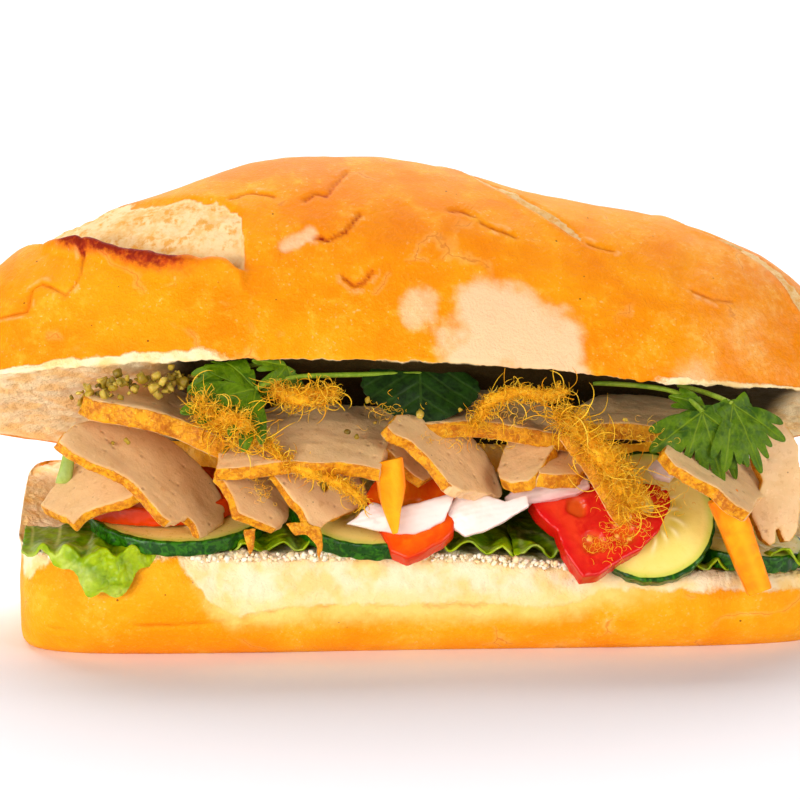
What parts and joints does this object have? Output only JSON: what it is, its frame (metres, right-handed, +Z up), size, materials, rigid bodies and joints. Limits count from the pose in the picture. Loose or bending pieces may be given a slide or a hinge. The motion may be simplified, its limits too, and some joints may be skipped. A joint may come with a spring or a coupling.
{
  "type": "banh mi sandwich",
  "caption": "Crusty short loaf split along its front and open like a book, filled with fanned sliced pork roll, lettuce, cucumber, tomato, onion, carrot, pork floss and herbs.",
  "frame": {"origin": "middle of the sandwich's box, on the plane that the loaf's flat base rests on", "axes": "+X along the loaf, to the right as seen from its open front; +Y from the open front to the joined back; +Z up"},
  "size_m": [0.202, 0.0918, 0.1038],
  "materials": {
    "crust": "matte",
    "lettuce": "satin",
    "cucumber": "wet",
    "tomato": "wet",
    "onion": "satin",
    "carrot": "satin",
    "pork_roll": "satin",
    "floss": "matte",
    "herb": "satin",
    "scallion": "wet"
  },
  "bodies": {
    "root": {"bread": "crust", "carrot_behind": "carrot", "carrot_middle": "carrot", "carrot_right": "carrot", "cilantro_far_right": "herb", "cilantro_left": "herb", "cilantro_right": "herb", "cucumber_far_right": "cucumber", "cucumber_left": "cucumber", "cucumber_middle": "cucumber", "cucumber_right": "cucumber", "floss_left": "floss", "floss_middle": "floss", "floss_right": "floss", "floss_strand": "floss", "floss_upper": "floss", "leaf_middle": "herb", "lettuce_left": "lettuce", "lettuce_middle": "lettuce", "lettuce_right": "lettuce", "onion_far_right": "onion", "onion_left": "onion", "onion_middle": "onion", "onion_right": "onion", "pork_01": "pork_roll", "pork_02": "pork_roll", "pork_03": "pork_roll", "pork_04": "pork_roll", "pork_05": "pork_roll", "pork_06": "pork_roll", "pork_07": "pork_roll", "pork_08": "pork_roll", "pork_09": "pork_roll", "pork_10": "pork_roll", "pork_11": "pork_roll", "pork_12": "pork_roll", "pork_13": "pork_roll", "pork_14": "pork_roll", "pork_15": "pork_roll", "scallion_mince": "scallion", "tomato_behind": "tomato", "tomato_left": "tomato", "tomato_middle": "tomato", "tomato_right": "tomato"}
  },
  "joints": []
}
